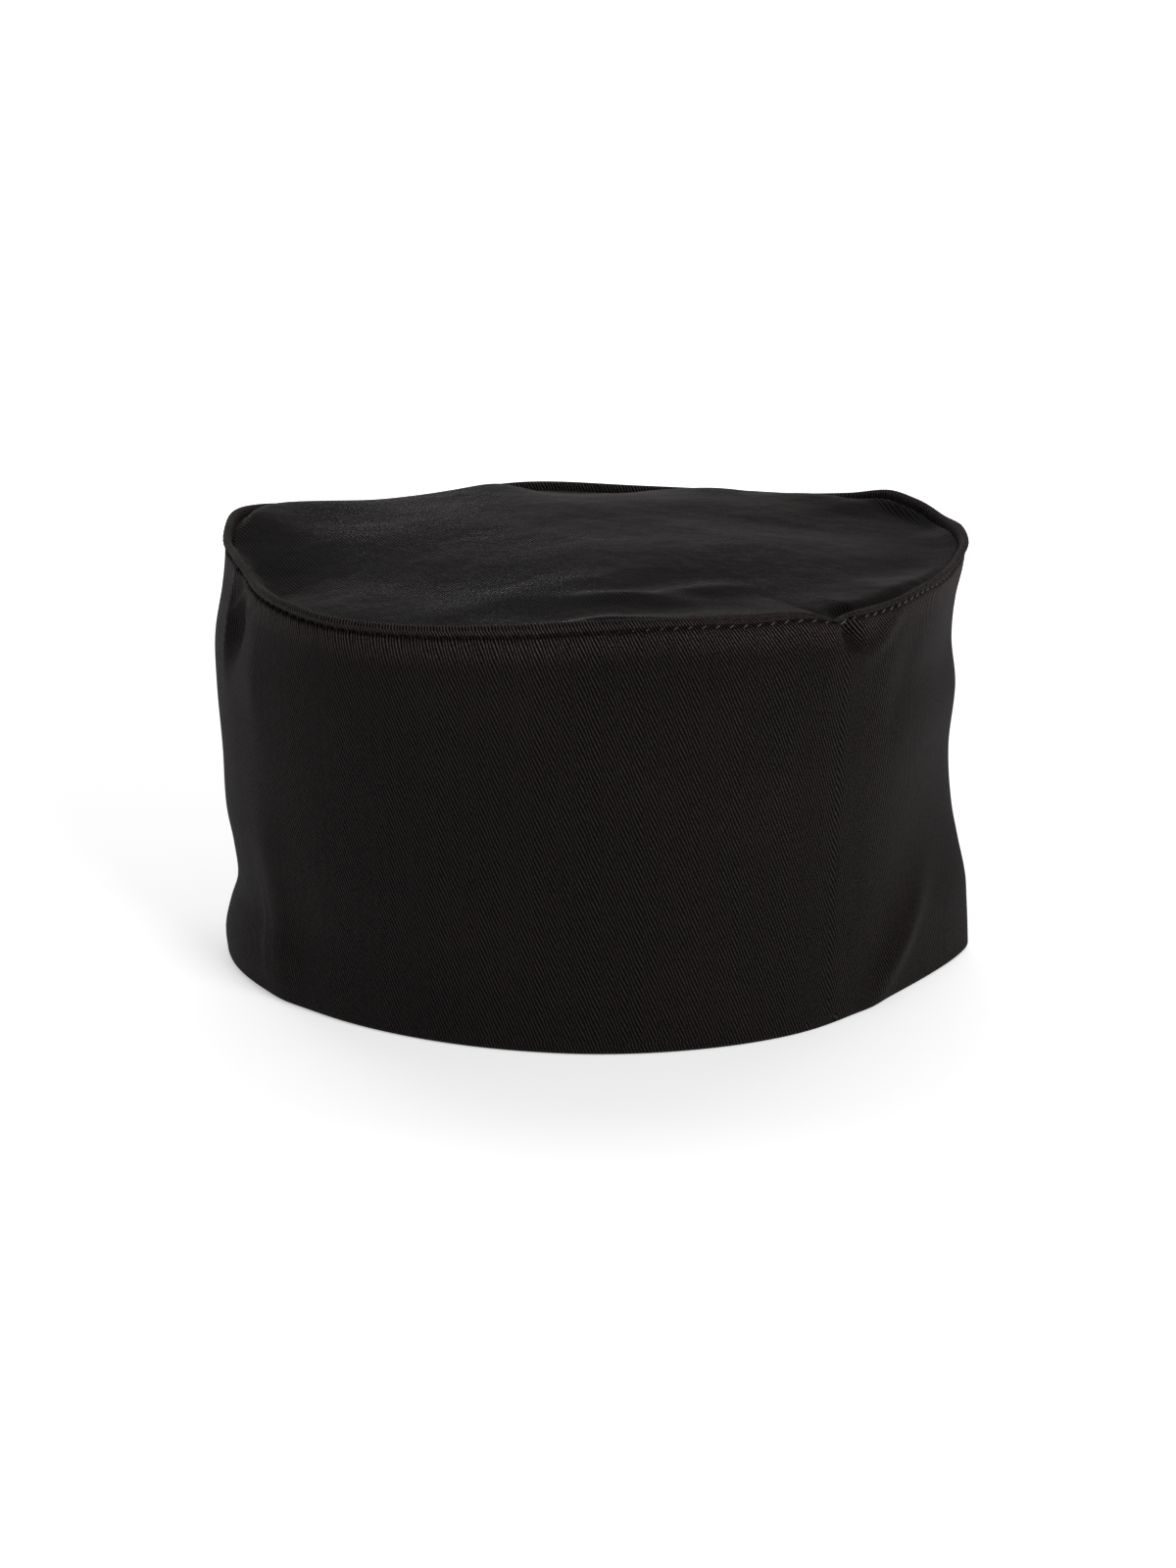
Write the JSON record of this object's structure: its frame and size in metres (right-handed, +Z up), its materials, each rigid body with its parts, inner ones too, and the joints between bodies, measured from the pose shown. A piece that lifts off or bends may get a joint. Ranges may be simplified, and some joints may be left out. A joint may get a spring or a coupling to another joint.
{
  "type": "chef skull cap",
  "caption": "Soft round kitchen cap with a deep twill side band, an edge-stitched ridge and a soft crown.",
  "frame": {"origin": "under the middle of the cap, in the plane that its lower edge rests on", "axes": "+Z up through the crown, -Y towards the front, +X towards the right of someone who looks at the front"},
  "size_m": [0.2004, 0.1744, 0.114],
  "materials": {
    "band_twill": "steep black cotton twill with a soft sheen, faintly worn along the ridge",
    "crown_twill": "single black cotton twill, seen along its lines",
    "thread": "black polyester sewing thread"
  },
  "bodies": {
    "root": {"side_band": "band_twill", "crown_top": "crown_twill"}
  },
  "joints": []
}
